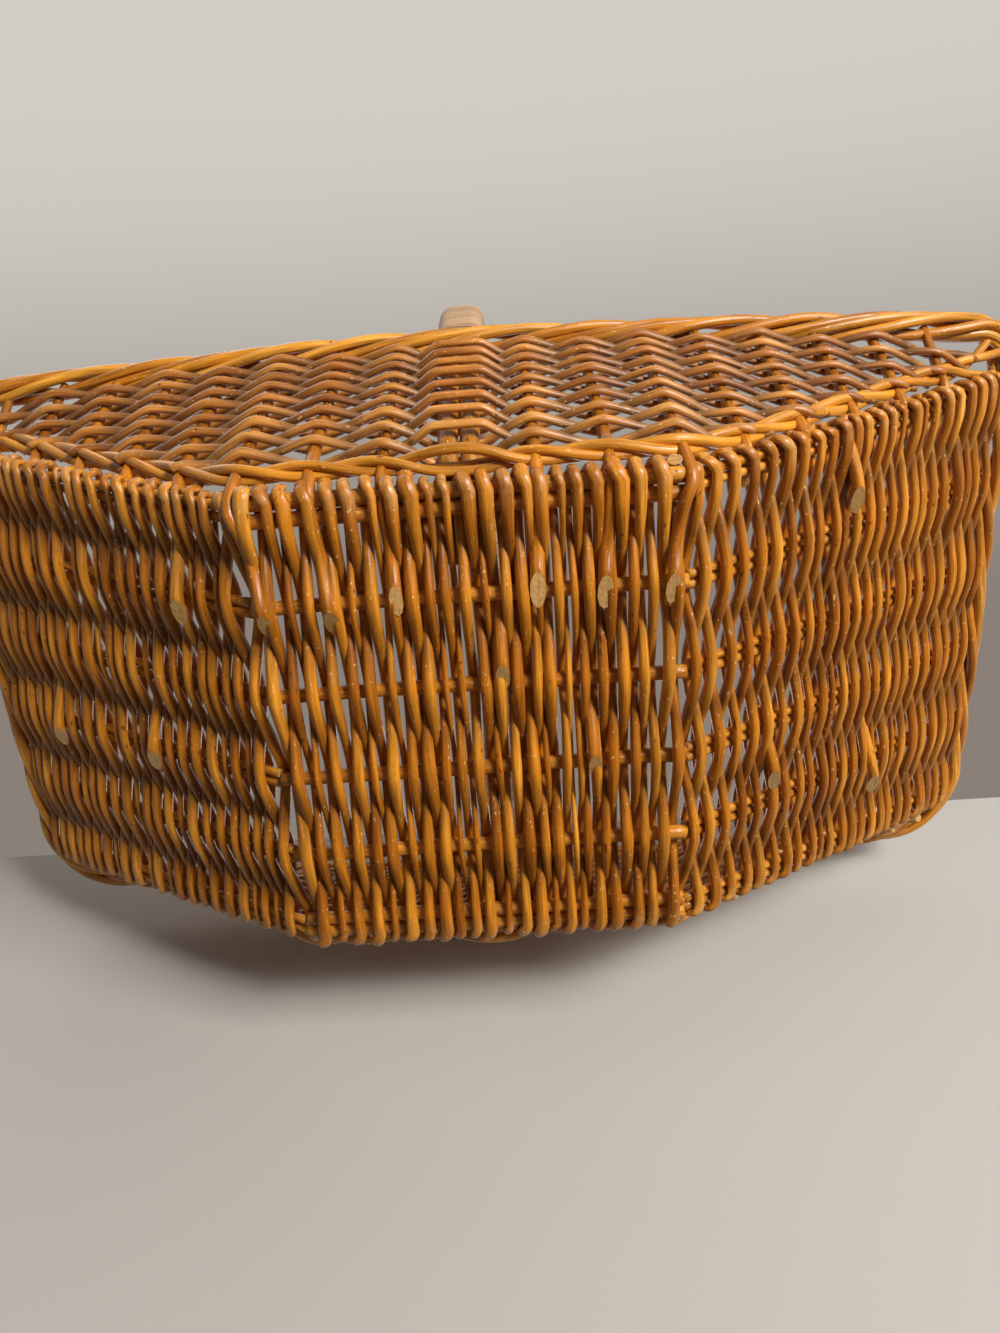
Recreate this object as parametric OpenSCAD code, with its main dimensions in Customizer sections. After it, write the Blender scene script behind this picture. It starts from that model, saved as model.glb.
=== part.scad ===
// Willow garden basket: a flat woven floor, two ends that rise to the rim,
// two flared side walls, a twisted border and a fixed wrapped bow handle.
// X runs along the basket, Z is up, and the floor's underside is at z = 0.

/* [Floor] */
// Length of the flat floor between its two folds
floor_l = 155; // [130:1:180]
// Width of the floor between the outer edge sticks
floor_w = 180; // [165:1:195]
// Diameter of a base stick
stick_d = 6; // [5:0.25:6.5]
// Weaver bands across the floor
floor_bands = 15; // [12:1:17]

/* [Ends] */
// Length of an end along its slope, from the fold to the border
end_l = 200; // [185:1:215]
// Angle at which an end rises from the floor
end_angle = 33.4; // [30:0.2:36]
// Width of an end at the rim for each unit of width at the fold
end_flare = 1.178; // [1.12:0.002:1.2]
// Diameter of an end stake
end_stake_d = 4; // [3.5:0.1:4.5]
// Weaver bands across an end
end_bands = 12; // [10:1:14]

/* [Weave] */
// Thickness of a floor or end weaver
weaver_t = 4.2; // [3.5:0.1:5]
// Thickness of a wall weaver
wall_weaver_t = 3.6; // [3:0.1:4.2]
// Half of the open gap that a stick passes through
gap_half = 0.9; // [0.6:0.1:1.2]
// Length over which neighbouring weavers are packed against each other
cross_l = 4; // [3:0.5:5]

/* [Walls] */
// Diameter of a wall stake
wall_stake_d = 4; // [3.5:0.1:4.5]
// Spacing of the wall stakes
wall_stake_step = 25.5; // [24:0.5:27.5]
// Distance from the bow to the first wall stake
first_stake_x = 27; // [26:0.5:29]
// Height of a wall weaver band
wall_band_h = 12; // [11:0.25:13]
// Diameter of a rod of the foot row, where each rod pairs with the next
pairing_d = 4.8; // [4:0.1:5.2]
// Height of the foot row above the edge of the base
pairing_h = 10; // [9:0.25:11]

/* [Rim] */
// Width of the rim at the handle, between border centres
rim_w = 274; // [264:1:284]
// Diameter of a border rod
border_rod_d = 5.5; // [5:0.1:6]
// Radius of the rim at its corners
corner_r = 16; // [14:0.5:18]
// Room between the corner of an end and the border
corner_room = 5.5; // [5:0.25:7]
// Length of border in which the rods change places once
border_swap = 42; // [36:1:48]

/* [Handle] */
// Diameter of each of the two bow rods
bow_d = 8; // [7:0.25:9]
// Half width of the handle at its widest, to the middle of the bow
bow_reach = 148; // [145:1:152]
// Radius of the handle's shoulders
shoulder_r = 100; // [95:1:110]
// Radius of the handle's crown
crown_r = 180; // [174:1:195]
// Thickness of the wrapping strip
wrap_t = 2.2; // [1.6:0.1:2.6]
// Length of handle that one raised turn of the wrapping takes
wrap_turn = 13; // [11:0.5:16]
// Share of each turn that stands proud
wrap_raised = 0.76; // [0.6:0.02:0.84]

/* [Fits] */
// Clearance between a weaver and the stick that it passes
weave_fit = 0.2; // [0.1:0.05:0.3]
// Clearance between two rods that lie side by side
rod_fit = 0.2; // [0.1:0.05:0.3]
// Clearance between the rods of the foot row and a stake
pairing_fit = 0.9; // [0.8:0.05:1.1]
// Clearance of the wrapping round the bow rods
wrap_fit = 0.7; // [0.6:0.05:0.9]
// Clearance at a cut end
end_fit = 0.3; // [0.2:0.05:0.5]

/* [Hidden] */
$fn = 48;
// Inner base sticks between the two edge pairs, wall stakes on each side of the bow,
// and rods of the row at the foot of a wall
inner_sticks = 4;
wall_stakes = 7;
pairing_rods = 3;
willow = [0.70, 0.43, 0.13];
willow_pale = [0.78, 0.56, 0.28];
willow_dark = [0.58, 0.36, 0.15];
wrap_tan = [0.76, 0.60, 0.42];
rope_sides = 4;
bow_sides = 6;
shoulder_rings = 6;
crown_rings = 9;
swap_angle = 120;
bow_phase = 60;
ring_angle = 60;
corner_rings = 3;

// Mean of two numbers or points
function mid(a, b) = (a + b) / 2;
function unit(v) = v / norm(v);

// How far a weaver's middle is lifted to clear rods of radius r whose centres lie
// off from the crest, where the weaver comes down over the length run
function lift(r, off, run, half_t, tries = 4, guess = 0) =
    let (slope = atan((guess == 0 ? r + weave_fit + half_t : guess) / run),
         lifted = (r + weave_fit + off * sin(slope)) / cos(slope) + half_t)
    tries == 0 ? lifted : lift(r, off, run, half_t, tries - 1, lifted);

// Floor: places of the sticks across the width
fold_x = floor_l / 2;
weaver_half = weaver_t / 2;
edge_pair_off = (stick_d + rod_fit) / 2;
edge_line_y = floor_w / 2 - edge_pair_off;
edge_crest_half = edge_pair_off + stick_d / 3;
hem_y = floor_w / 2 + stick_d / 2 + weaver_t;
line_step = 2 * edge_line_y / (inner_sticks + 1);
lines = [for (i = [0:inner_sticks + 1]) i * line_step - edge_line_y];
last_line = len(lines) - 1;
slope_run = line_step / 2 - cross_l / 2;
floor_lift = lift(stick_d / 2, 0, slope_run, weaver_half);
end_pair_off = (end_stake_d + rod_fit) / 2;
end_lift = lift(end_stake_d / 2, end_pair_off, slope_run, weaver_half);
stick_z = floor_lift + weaver_half;
fold_room = (max(floor_lift, end_lift) + weaver_half) * tan(end_angle / 2) + rod_fit;

// Ends and rim
rim_x = fold_x + end_l * cos(end_angle);
rim_z = stick_z + end_l * sin(end_angle);
rope_r = border_rod_d / 2;
rope_orbit = (border_rod_d + rod_fit) / sqrt(3) / cos(ring_angle / 2);
border_r = rope_orbit + rope_r;
rim_end_y = hem_y * end_flare + border_r + corner_room;
rim_mid_y = rim_w / 2;
rim_sag = (rim_mid_y - rim_end_y) / pow(rim_x, 2);
end_stop = end_l - border_r - end_fit;
end_weave_stop = end_stop - border_rod_d / 2;

// Walls
wall_half = wall_weaver_t / 2;
bow_off = (bow_d + rod_fit) / 2;
bow_half_x = bow_off + bow_d / 2 + rod_fit;
wall_run = wall_stake_step / 2 - cross_l / 2;
stake_lift = lift(wall_stake_d / 2, 0, min(wall_run, (first_stake_x - bow_half_x - cross_l) / 2), wall_half);
bow_lift = bow_d / 2 + weave_fit + wall_half;
wall_lean = atan((rim_mid_y - hem_y - wall_stake_d) / (rim_z - stick_z));
wall_out = [0, -cos(wall_lean), -sin(wall_lean)];
wall_up = [0, -sin(wall_lean), cos(wall_lean)];
wall_top = rim_z - border_r - 2 * end_fit;
pairing_apart = pairing_d / 2 + pairing_fit;
pairing_top = pairing_h + pairing_apart + pairing_d / 2 + end_fit;
wall_bands = floor((wall_top - stick_z - pairing_top) / wall_band_h);
stake_xs = [for (i = [0:wall_stakes - 1]) first_stake_x + i * wall_stake_step];
last_stake_x = stake_xs[wall_stakes - 1];

// Half width of the border's middle at x, and the width factor of an end at slope length t
function rim_y(x) = rim_mid_y - rim_sag * x * x;
function flare(t) = 1 + (end_flare - 1) * t / end_l;

// Foot of the wall at x, for a rod of radius r that stands against the hem
function foot(x, r) =
    let (t = max(0, abs(x) - fold_x) / cos(end_angle))
    [x, -(hem_y * flare(t) + end_fit + r), stick_z + t * sin(end_angle)];
function head(x) = [x, -rim_y(x), rim_z];
// Point of the wall's middle surface at x and height z
function wall_at(x, z, r) =
    let (low = foot(x, r), high = head(x))
    low + (high - low) * (z - low[2]) / (high[2] - low[2]);

// Faces of a woven sheet. Band i runs through stations first[i] to last[i].
// Where both of two neighbours pass a crossing, they share their edge there.
function quad(a, b, c, d) = [[a, b, c], [a, c, d]];
function inside(i, j, first, last) = i >= 0 && i < len(first) && j > first[i] && j < last[i];
function shared(i, j, first, last, cross) =
    cross[j] && inside(i, j, first, last) && inside(i + 1, j, first, last);
function corner(i, s, j, f, first, last, cross) =
    let (m = len(cross), joined = s == 0 && i > 0 && shared(i - 1, j, first, last, cross))
    (((joined ? i - 1 : i) * 2 + (joined ? 1 : s)) * m + j) * 2 + f;
function bridged(i, j, first, last, cross) =
    shared(i, j, first, last, cross) && shared(i, j + 1, first, last, cross);
function sheet_faces(first, last, cross) = [
    for (i = [0:len(first) - 1]) for (j = [first[i]:last[i] - 1])
        let (c = [for (f = [0, 1]) for (s = [0, 1]) for (k = [0, 1])
            corner(i, s, j + k, f, first, last, cross)])
        each concat(
            quad(c[4], c[5], c[7], c[6]),
            quad(c[0], c[2], c[3], c[1]),
            bridged(i - 1, j, first, last, cross) ? [] : quad(c[0], c[1], c[5], c[4]),
            bridged(i, j, first, last, cross) ? [] : quad(c[2], c[6], c[7], c[3]),
            j == first[i] ? quad(c[0], c[4], c[6], c[2]) : [],
            j == last[i] - 1 ? quad(c[1], c[3], c[7], c[5]) : []
        )
];

// Stations across a mat: [place, rise, whether it is part of a crossing]
mat_stations = concat(
    [[-hem_y, 0, false]],
    [for (i = [0:last_line]) each concat(
        i == 0 || i == last_line
            ? [[lines[i] - edge_crest_half, i, false], [lines[i] + edge_crest_half, i, false]]
            : [[lines[i], i, false]],
        i == last_line ? [] : [
            [mid(lines[i], lines[i + 1]) - cross_l / 2, 0, true],
            [mid(lines[i], lines[i + 1]) + cross_l / 2, 0, true]
        ]
    )],
    [[hem_y, 0, false]]
);
mat_cross = [for (s = mat_stations) s[2]];
mat_end = len(mat_stations) - 1;

// +1 where band i passes above line k, -1 where it passes below
function over(i, k) = (i + k) % 2 == 0 ? 1 : -1;
// Height of band i at station j: on a crest, or level at a crossing or hem
function band_rise(i, j, rise) =
    j == 0 || j == mat_end || mat_cross[j] ? 0 : over(i, mat_stations[j][1]) * rise;

// A woven mat of equal bands between lengths a and b. Its middle surface is flat:
// along = length, across = place * width factor, rise = square to the mat.
module mat(bands, a, b, rise, widens, phase) {
    pitch = (b - a) / bands;
    points = [
        for (i = [0:bands - 1]) for (s = [0, 1]) for (j = [0:mat_end]) for (f = [0, 1])
            let (inset = mat_cross[j] ? 0 : gap_half,
                 t = a + (i + s) * pitch + (s == 0 ? inset : -inset),
                 w = widens ? flare(t) : 1)
            [t, mat_stations[j][0] * w,
             band_rise(i + phase, j, rise) + (f == 0 ? -weaver_half : weaver_half)]
    ];
    first = [for (i = [1:bands]) 0];
    last = [for (i = [1:bands]) mat_end];
    polyhedron(points, [for (f = sheet_faces(first, last, mat_cross)) [f[2], f[1], f[0]]]);
}

module floor_weave() {
    reach = fold_x - fold_room;
    color(willow) translate([0, 0, stick_z])
        mat(floor_bands, -reach, reach, floor_lift, false, 0);
}

// One end in the plane of the right-hand fold
module on_right_end() {
    translate([fold_x, 0, stick_z]) rotate([0, -end_angle, 0]) children();
}

module end_weave(phase) {
    color(willow) on_right_end()
        mat(end_bands, fold_room, end_weave_stop, end_lift, true, phase);
}

// The left end is the right end turned half round
module right_end_weave() { end_weave(floor_bands); }
module left_end_weave() { rotate([0, 0, 180]) end_weave(floor_bands); }

// A straight stick along X with two cut ends
module base_stick(y) {
    color(willow_pale) translate([-fold_x, y, stick_z]) rotate([0, 90, 0])
        cylinder(d = stick_d, h = floor_l);
}

// A round rod between two points
module rod(a, b, d) {
    way = b - a;
    translate(a)
        rotate([0, acos(way[2] / norm(way)), atan2(way[1], way[0])])
            cylinder(d = d, h = norm(way));
}

// The pair of stakes that carries line y up an end
module end_stakes(y) {
    start = (end_fit + end_stake_d / 2 * sin(end_angle)) / cos(end_angle);
    color(willow_pale) on_right_end() for (side = [-1, 1])
        rod([start, y * flare(start) + side * end_pair_off, 0],
            [end_stop, y * flare(end_stop) + side * end_pair_off, 0], end_stake_d);
}

// Stations along a wall from left to right: [x, radius of the rod there, line, crossing]
function half_stations(d) = [
    for (i = [0:wall_stakes - 1])
        let (x0 = i == 0 ? bow_half_x : stake_xs[i - 1], m = mid(x0, stake_xs[i]))
        each [
            [d * (m - cross_l / 2), wall_stake_d / 2, 0, true],
            [d * (m + cross_l / 2), wall_stake_d / 2, 0, true],
            [d * stake_xs[i], wall_stake_d / 2, i + 1, false]
        ],
    [d * (last_stake_x + wall_stake_d + 2 * wall_half), wall_stake_d / 2, 0, true]
];
function reversed(list) = [for (i = [len(list) - 1:-1:0]) list[i]];
wall_stations = concat(
    reversed(half_stations(-1)),
    [[-bow_half_x, bow_d / 2, 0, false], [bow_half_x, bow_d / 2, 0, false]],
    half_stations(1)
);
wall_cross = [for (s = wall_stations) s[3]];
// Stations in one half, and those that one stake takes
half_count = 3 * wall_stakes + 1;
stake_stations = 3;

// Stakes on each side of the bow that are tall enough for band i, counted from the rim
function band_low(i) = wall_top - (i + 1) * wall_band_h;
function band_stakes(i) = len([
    for (x = stake_xs) if (foot(x + wall_stake_step / 2, 0)[2] + pairing_top <= band_low(i)) x
]);
wall_first = [for (i = [0:wall_bands - 1]) half_count - stake_stations * band_stakes(i) - 1];
wall_last = [for (i = [0:wall_bands - 1]) half_count + 2 + stake_stations * band_stakes(i)];

function wall_rise(i, j) =
    let (s = wall_stations[j])
    s[3] ? 0 : over(i, s[2]) * (s[1] > wall_stake_d / 2 ? bow_lift : stake_lift);

module wall_weave() {
    points = [
        for (i = [0:wall_bands - 1]) for (s = [0, 1]) for (j = [0:len(wall_stations) - 1])
        for (f = [0, 1])
            let (st = wall_stations[j],
                 open = !wall_cross[j] || j == wall_first[i] || j == wall_last[i],
                 inset = open ? gap_half : 0,
                 z = wall_top - (i + s) * wall_band_h + (s == 0 ? -inset : inset))
            wall_at(st[0], z, st[1])
                + wall_out * (wall_rise(i, j) + (f == 0 ? -wall_half : wall_half))
    ];
    color(willow_dark) polyhedron(points, sheet_faces(wall_first, wall_last, wall_cross));
}

module front_wall_weave() { wall_weave(); }
module back_wall_weave() { rotate([0, 0, 180]) wall_weave(); }

// Wall stakes from the hem of the base to the underside of the border
module wall_stake_row() {
    color(willow_dark) for (side = [-1, 1]) for (x = stake_xs) {
        low = foot(side * x, wall_stake_d / 2);
        high = head(side * x);
        way = unit(high - low);
        rod(low, high - way * (border_r + end_fit), wall_stake_d);
    }
}

// A rod of a few sides through a list of centres. across gives one section axis a ring,
// and flush cuts both ends upright and square to the row that the rod belongs to
function flush_way(across, way) =
    let (row = cross([0, 0, 1], across))
    row * sign(row * way);
module swept_rod(centres, across, d, sides, flush = false) {
    n = len(centres);
    points = [
        for (i = [0:n - 1])
            let (chord = unit(centres[min(i + 1, n - 1)] - centres[max(i - 1, 0)]),
                 way = flush && (i == 0 || i == n - 1) ? flush_way(across[i], chord) : chord,
                 b = unit(cross(way, across[i])),
                 a = cross(b, way))
            for (k = [0:sides - 1])
                let (turn = 360 * (k + 0.5) / sides)
                centres[i] + d / 2 * (a * cos(turn) + b * sin(turn))
    ];
    walls = [
        for (i = [0:n - 2]) for (k = [0:sides - 1])
            let (p = i * sides + k, q = i * sides + (k + 1) % sides)
            each quad(p, q, q + sides, p + sides)
    ];
    caps = [
        [for (k = [sides - 1:-1:0]) k],
        [for (k = [0:sides - 1]) (n - 1) * sides + k]
    ];
    polyhedron(points, [for (f = concat(walls, caps)) reversed(f)]);
}

// Foot row: three rods. Each comes out low, passes outside two stakes, rises over the next
// rod and goes in behind the third stake. Each stop is [x, radius of the stake or bow passed
// there or 0 between two, number of the stake at it or to its left, with the bow as 0]
pairing_end_x = last_stake_x + wall_stake_step * 2 / 3;
function half_stops(d) = [
    for (i = [0:wall_stakes - 1])
        let (x0 = i == 0 ? bow_half_x : stake_xs[i - 1])
        each [
            [d * mid(x0, stake_xs[i]), 0, d > 0 ? i : -i - 1],
            [d * stake_xs[i], wall_stake_d / 2, d * (i + 1)]
        ],
    [d * pairing_end_x, 0, d > 0 ? wall_stakes : -wall_stakes - 1]
];
pairing_stops = concat(
    reversed(half_stops(-1)),
    [[-bow_half_x, bow_d / 2, 0], [bow_half_x, bow_d / 2, 0]],
    half_stops(1)
);

// Where rod k is in its round at a stop: 0 inside, 1 outside and low, 2 outside and high
function round_part(k, s) = (s[2] + k + pairing_rods * wall_stakes) % pairing_rods;
// How far out and up rod k is at a stop. Between stakes it comes out low and goes in high
function pairing_out(k, s) =
    let (part = round_part(k, s), out = max(s[1], wall_stake_d / 2) + pairing_fit + pairing_d / 2)
    s[1] > 0 ? (part == 0 ? -out : out) : (part == 1 ? out : 0);
function pairing_up(k, s) =
    (s[1] > 0 ? [0, -1, 1] : [-1, 0, 1])[round_part(k, s)] * pairing_apart;

module pairing_rod(k) {
    // From low to high outside, the rod runs straight
    stops = [
        for (i = [0:len(pairing_stops) - 1])
            let (s = pairing_stops[i], at_end = i == 0 || i == len(pairing_stops) - 1)
            if (at_end || s[1] > 0 || round_part(k, s) != 1) s
    ];
    centres = [
        for (s = stops)
            let (r = max(s[1], wall_stake_d / 2),
                 seat = wall_at(s[0], foot(s[0], r)[2] + pairing_h, r),
                 slope = abs(s[0]) > fold_x ? end_angle : 0)
            seat + wall_out * pairing_out(k, s) + wall_up * pairing_up(k, s) / cos(slope)
    ];
    color(willow) swept_rod(centres, [for (s = stops) wall_out], pairing_d, rope_sides);
}

// Border: three rods twisted round each other. A stretch is a list of
// [middle, outward direction, twist, spread at a rod that stands in the border]
module border(stretch) {
    color(willow) for (k = [0:2]) {
        centres = [
            for (p = stretch)
                let (turn = p[2] + k * swap_angle,
                     up = rope_orbit * sin(turn),
                     out = p[3] > 0
                         ? (cos(turn) > 0 ? 1 : -1) * p[3] + up * tan(wall_lean)
                         : rope_orbit * cos(turn))
                p[0] + p[1] * out + [0, 0, up]
        ];
        swept_rod(centres, [for (p = stretch) p[1]], border_rod_d, rope_sides, true);
    }
}

// Long side of the rim, with room for the bow in the middle
corner_x = rim_x - corner_r;
side_run = corner_x - bow_half_x;
side_swaps = round(side_run / border_swap);
side_rings = side_swaps * swap_angle / ring_angle;
bow_spread = bow_d / 2 + weave_fit + rope_r;
function side_twist(x) =
    bow_phase + sign(x) * swap_angle * side_swaps * max(0, abs(x) - bow_half_x) / side_run;
side_xs = [
    for (i = [side_rings:-1:0]) -(bow_half_x + side_run * i / side_rings),
    for (i = [0:side_rings]) bow_half_x + side_run * i / side_rings
];
module rim_side() {
    border([
        for (x = side_xs)
            let (slope = 2 * rim_sag * x)
            [[x, -rim_y(x), rim_z], unit([slope, -1, 0]), side_twist(x),
             abs(x) < bow_half_x + rod_fit ? bow_spread : 0]
    ]);
}

// End of the rim: a corner, a straight stretch and another corner
corner_y = rim_y(corner_x) - corner_r;
corner_run = corner_r * PI / 2;
end_run = 2 * corner_run + 2 * corner_y;
end_swaps = round(end_run / border_swap);
end_rings = round(2 * corner_y / border_swap * swap_angle / ring_angle);
function corner_ring(y, angle, run) = [
    [corner_x, y, rim_z] + corner_r * [cos(angle), sin(angle), 0],
    [cos(angle), sin(angle), 0], bow_phase + swap_angle * end_swaps * run / end_run, 0
];
module rim_end() {
    joint = asin(end_fit / corner_r);
    border(concat(
        [for (i = [0:corner_rings])
            let (part = i / corner_rings)
            corner_ring(-corner_y, -90 + joint * (1 - part) + 90 * part, corner_run * part)],
        [for (i = [1:end_rings - 1])
            let (part = i / end_rings)
            corner_ring(-corner_y + 2 * corner_y * part, 0, corner_run + 2 * corner_y * part)],
        [for (i = [0:corner_rings])
            let (part = i / corner_rings)
            corner_ring(corner_y, 90 * part - joint * part, end_run - corner_run * (1 - part))]
    ));
}
module rim_front() { rim_side(); }
module rim_back() { rotate([0, 0, 180]) rim_side(); }
module rim_right() { rim_end(); }
module rim_left() { rotate([0, 0, 180]) rim_end(); }

// Handle: legs that follow the wall, shoulders that bulge past the rim and a flatter
// crown, each tangent to the next
leg_foot = foot(0, bow_d / 2);
leg_way = unit(head(0) - leg_foot);
leg_lean = acos(leg_way[2]);
shoulder_y = bow_reach - shoulder_r;
leg_rise = shoulder_y + shoulder_r * cos(leg_lean) - rim_mid_y;
leg_top = head(0) + leg_way * leg_rise / sin(leg_lean);
shoulder_z = leg_top[2] + shoulder_r * sin(leg_lean);
crown_turn = asin(shoulder_y / (crown_r - shoulder_r));
crown_z = shoulder_z - (crown_r - shoulder_r) * cos(crown_turn);
wrap_r = bow_d / 2 + wrap_fit;
// Layer that runs on under the raised turns
wrap_under = wrap_t * 2 / 3;

// A profile carried round an arc in the YZ plane: profile x is radial, profile y is X
module arc(y, z, r, from, to) {
    translate([0, y, z]) rotate([90, 0, 90]) rotate([0, 0, from])
        rotate_extrude(angle = to - from) translate([r, 0]) children();
}

// The arch from shoulder angle start on one side to the same on the other
module arch(start) {
    arc(shoulder_y, shoulder_z, shoulder_r, start, 90 - crown_turn) children();
    arc(0, crown_z, crown_r, 90 - crown_turn, 90 + crown_turn) children();
    arc(-shoulder_y, shoulder_z, shoulder_r, 90 + crown_turn, 180 - start) children();
}

// Points of an arc in the YZ plane
function arc_points(rings, x, y, z, r, from, to) = [
    for (i = [0:rings - 1])
        let (turn = from + (to - from) * i / rings)
        [x, y + r * cos(turn), z + r * sin(turn)]
];

// One bow rod from foot to foot, as the wall, the shoulders and the crown carry it
module bow_rod(side) {
    x = side * bow_off;
    centres = concat(
        [[x, -leg_foot[1], leg_foot[2]]],
        arc_points(shoulder_rings, x, shoulder_y, shoulder_z, shoulder_r, -leg_lean, 90 - crown_turn),
        arc_points(crown_rings, x, 0, crown_z, crown_r, 90 - crown_turn, 90 + crown_turn),
        arc_points(shoulder_rings, x, -shoulder_y, shoulder_z, shoulder_r, 90 + crown_turn, 180 + leg_lean),
        [[x, leg_top[1], leg_top[2]], [x, leg_foot[1], leg_foot[2]]]
    );
    color(willow_pale) swept_rod(centres, [for (c = centres) [1, 0, 0]], bow_d, bow_sides);
}
module handle_bow_left() { bow_rod(-1); }
module handle_bow_right() { bow_rod(1); }

// Section round both bow rods, at distance r from their axes
module bow_outline(r) {
    for (side = [-1, 1]) translate([0, side * bow_off]) circle(r = r);
    square([2 * r, 2 * bow_off], center = true);
}
module wrap_ring(inner, outer) {
    difference() {
        bow_outline(outer);
        bow_outline(inner);
    }
}

// Raised turns spaced evenly along one arc
module wrap_turns(y, z, r, from, to) {
    length = (to - from) * PI / 180 * r;
    turns = round(length / wrap_turn);
    step = (to - from) / turns;
    half = step * wrap_raised / 2;
    for (i = [0:turns - 1])
        let (turn = from + step * (i + 0.5))
        arc(y, z, r, turn - half, turn + half)
            wrap_ring(wrap_r + wrap_under / 2, wrap_r + wrap_t);
}

// Angle of half a turn of wrapping on an arc, so that one turn covers each joint of the arcs
function lap(r) = wrap_turn / 2 / r * 180 / PI;

module handle_wrap() {
    start = asin((rim_z + border_r + end_fit + wrap_t - shoulder_z) / shoulder_r);
    crown_end = 90 - crown_turn;
    color(wrap_tan) {
        arch(start) wrap_ring(wrap_r, wrap_r + wrap_under);
        wrap_turns(shoulder_y, shoulder_z, shoulder_r, start, crown_end - lap(shoulder_r));
        wrap_turns(0, crown_z, crown_r, crown_end - lap(crown_r), 180 - crown_end + lap(crown_r));
        wrap_turns(-shoulder_y, shoulder_z, shoulder_r, 180 - crown_end + lap(shoulder_r), 180 - start);
    }
}

floor_weave();
left_end_weave();
right_end_weave();
front_wall_weave();
back_wall_weave();
for (i = [1:inner_sticks])
    base_stick(lines[i]);
base_stick(lines[0] - edge_pair_off);  // front_edge_stick_outer
base_stick(lines[0] + edge_pair_off);  // front_edge_stick_inner
base_stick(lines[last_line] + edge_pair_off);  // back_edge_stick_outer
base_stick(lines[last_line] - edge_pair_off);  // back_edge_stick_inner
for (i = [0:last_line])
    end_stakes(lines[i]);
for (i = [0:last_line])
    mirror([1, 0, 0]) end_stakes(lines[i]);
wall_stake_row();  // front_wall_stakes
rotate([0, 0, 180]) wall_stake_row();  // back_wall_stakes
for (i = [1:pairing_rods])
    pairing_rod(i);
for (i = [1:pairing_rods])
    rotate([0, 0, 180]) pairing_rod(i);
rim_front();
rim_back();
rim_left();
rim_right();
handle_bow_left();
handle_bow_right();
handle_wrap();
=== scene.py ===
# %% [markdown]
# # A willow garden basket
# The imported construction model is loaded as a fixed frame. It holds the plain woven panels, sticks, stakes,
# border and bow at their real size. This lesson dresses each of them with single willow rods, in metres, in
# the same place.

import bpy
import numpy as np
from mathutils import Matrix, Vector


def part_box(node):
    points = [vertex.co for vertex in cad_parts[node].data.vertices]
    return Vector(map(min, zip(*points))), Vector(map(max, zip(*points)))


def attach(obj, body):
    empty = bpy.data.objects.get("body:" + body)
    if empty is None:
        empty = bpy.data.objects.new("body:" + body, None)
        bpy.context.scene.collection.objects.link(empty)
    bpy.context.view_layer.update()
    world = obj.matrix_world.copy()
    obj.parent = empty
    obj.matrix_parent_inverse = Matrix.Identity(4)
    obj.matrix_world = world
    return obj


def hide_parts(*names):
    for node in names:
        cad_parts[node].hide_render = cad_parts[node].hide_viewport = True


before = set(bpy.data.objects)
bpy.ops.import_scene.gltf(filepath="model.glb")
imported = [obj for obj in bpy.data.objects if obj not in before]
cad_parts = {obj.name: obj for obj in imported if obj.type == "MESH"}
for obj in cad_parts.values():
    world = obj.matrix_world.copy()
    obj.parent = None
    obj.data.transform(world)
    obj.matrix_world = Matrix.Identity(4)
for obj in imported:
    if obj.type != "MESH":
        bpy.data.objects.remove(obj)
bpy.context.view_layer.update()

MM = 0.001
to_x = np.array([1.0, 0.0, 0.0])
to_z = np.array([0.0, 0.0, 1.0])
rng = np.random.default_rng(41)
print("nodes in the frame:", len(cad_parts))

# %% [markdown]
# ## Reading the main places from the frame
# The sticks of the floor lie along X, so their boxes give the lines that the weavers cross, the height of
# the floor and the place of the folds. The rim's box gives the height of the border. The other sizes are set
# beside them.


# %% Places and sizes
def middle(node):
    """Middle of a node's box: half the sum of its two corners."""
    low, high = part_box(node)
    return (np.array(low) + np.array(high)) / 2


stick_low, stick_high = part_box("base_stick_1")
fold_x = stick_high.x
stick_z = middle("base_stick_1")[2]
stick_r = (stick_high.z - stick_low.z) / 2
edge_outer_y = abs(middle("front_edge_stick_outer")[1])
edge_inner_y = abs(middle("front_edge_stick_inner")[1])
edge_line_y = (edge_outer_y + edge_inner_y) / 2
inner_lines = np.array([middle(f"base_stick_{i}")[1] for i in (1, 2, 3, 4)])
lines = np.concatenate([[-edge_line_y], inner_lines, [edge_line_y]])

end_angle = np.radians(33.4)
end_length = 200 * MM
end_flare = 1.178
end_belly = 2.0 * MM
end_stake_r = 2.0 * MM
end_pair = 2.1 * MM

rim_z = middle("rim_right")[2]
rim_x = fold_x + end_length * np.cos(end_angle)
rim_mid_y = 137 * MM
rim_end_y = 126.5 * MM
hem_y = 97.2 * MM
bow_x = 4.1 * MM
bow_r = 4.0 * MM
wall_stake_r = 2.0 * MM
stake_step = 25.5 * MM
stake_xs = 27 * MM + stake_step * np.arange(8)
foot_tuck = 3.2 * MM
end_tuck = 3.0 * MM
tuck_reach = 25 * MM
rod_slack = 0.1 * MM
print("folds at x = +-", round(fold_x, 4), "lines", lines.round(4), "rim height", round(rim_z, 4))


# %% [markdown]
# ## The camera
# The photo looks at the underside from below and in front, with a wide lens. The place, the turn and the
# lens come from matching the folds, the edges and the border of the frame to the photo.

# %% Camera
camera_place = Vector((16.2, -136.8, -289.6)) * MM
camera_turn = Vector((0.36399, 0.00864, -0.06775))
camera_lens = 23.06
photo_sensor = 36.0

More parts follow.
